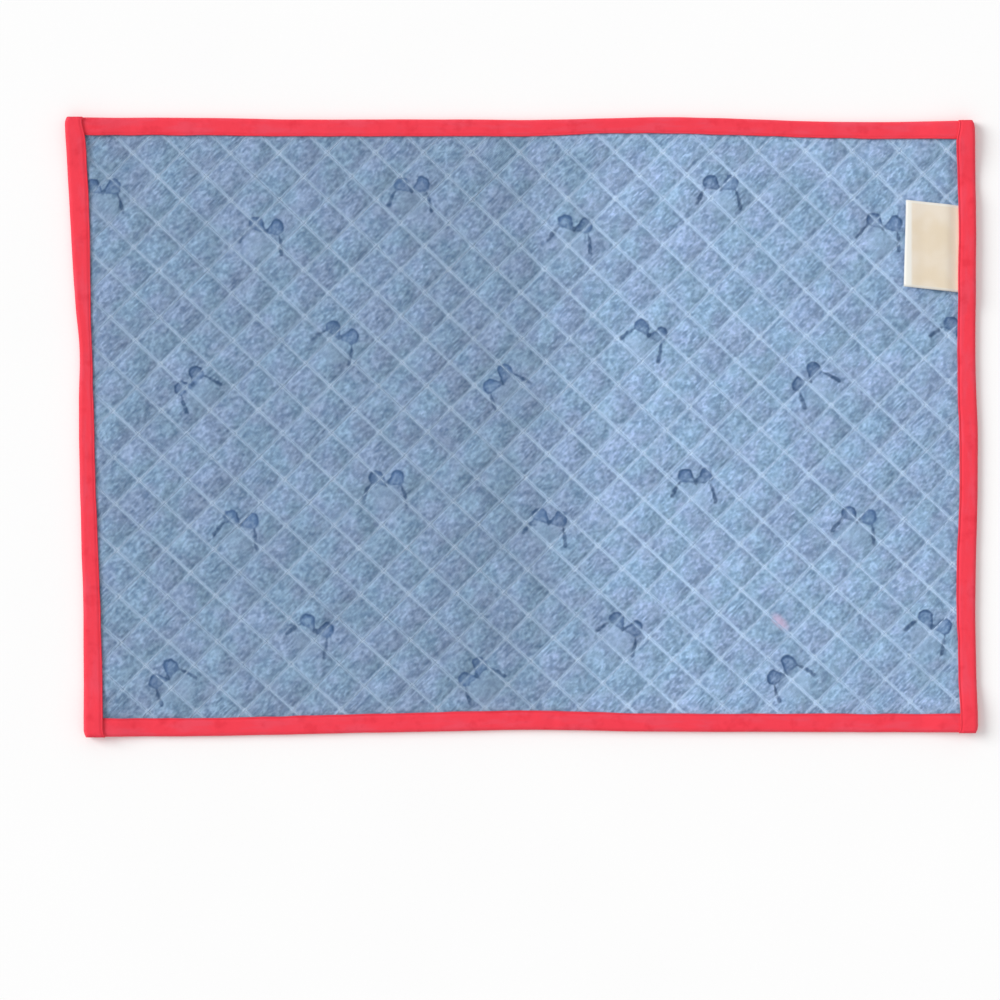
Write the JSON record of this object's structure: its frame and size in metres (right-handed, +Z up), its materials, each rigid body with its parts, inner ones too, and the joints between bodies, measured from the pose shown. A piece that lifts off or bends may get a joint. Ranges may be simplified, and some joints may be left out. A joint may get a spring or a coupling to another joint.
{
  "type": "quilted fabric placemat",
  "caption": "Rectangular quilted placemat of pale blue cloth with diamond stitching, a narrow bound edge and a small folded ribbon label.",
  "frame": {"origin": "bottom centre of the bounding box, on the surface that the mat lies on", "axes": "+X along the long side, +Y across the mat to its far side, +Z up out of its face"},
  "size_m": [0.4679, 0.3175, 0.0062],
  "materials": {
    "denim": "pale washed blue twill with a small bow print, quilted with pale thread",
    "red_cotton": "plain woven cotton, matt",
    "cream_ribbon": "smooth woven cotton ribbon, matt"
  },
  "bodies": {
    "root": {"quilted_panel": "denim", "binding_far": "red_cotton", "binding_near": "red_cotton", "binding_left": "red_cotton", "binding_right": "red_cotton", "label": "cream_ribbon"}
  },
  "joints": []
}
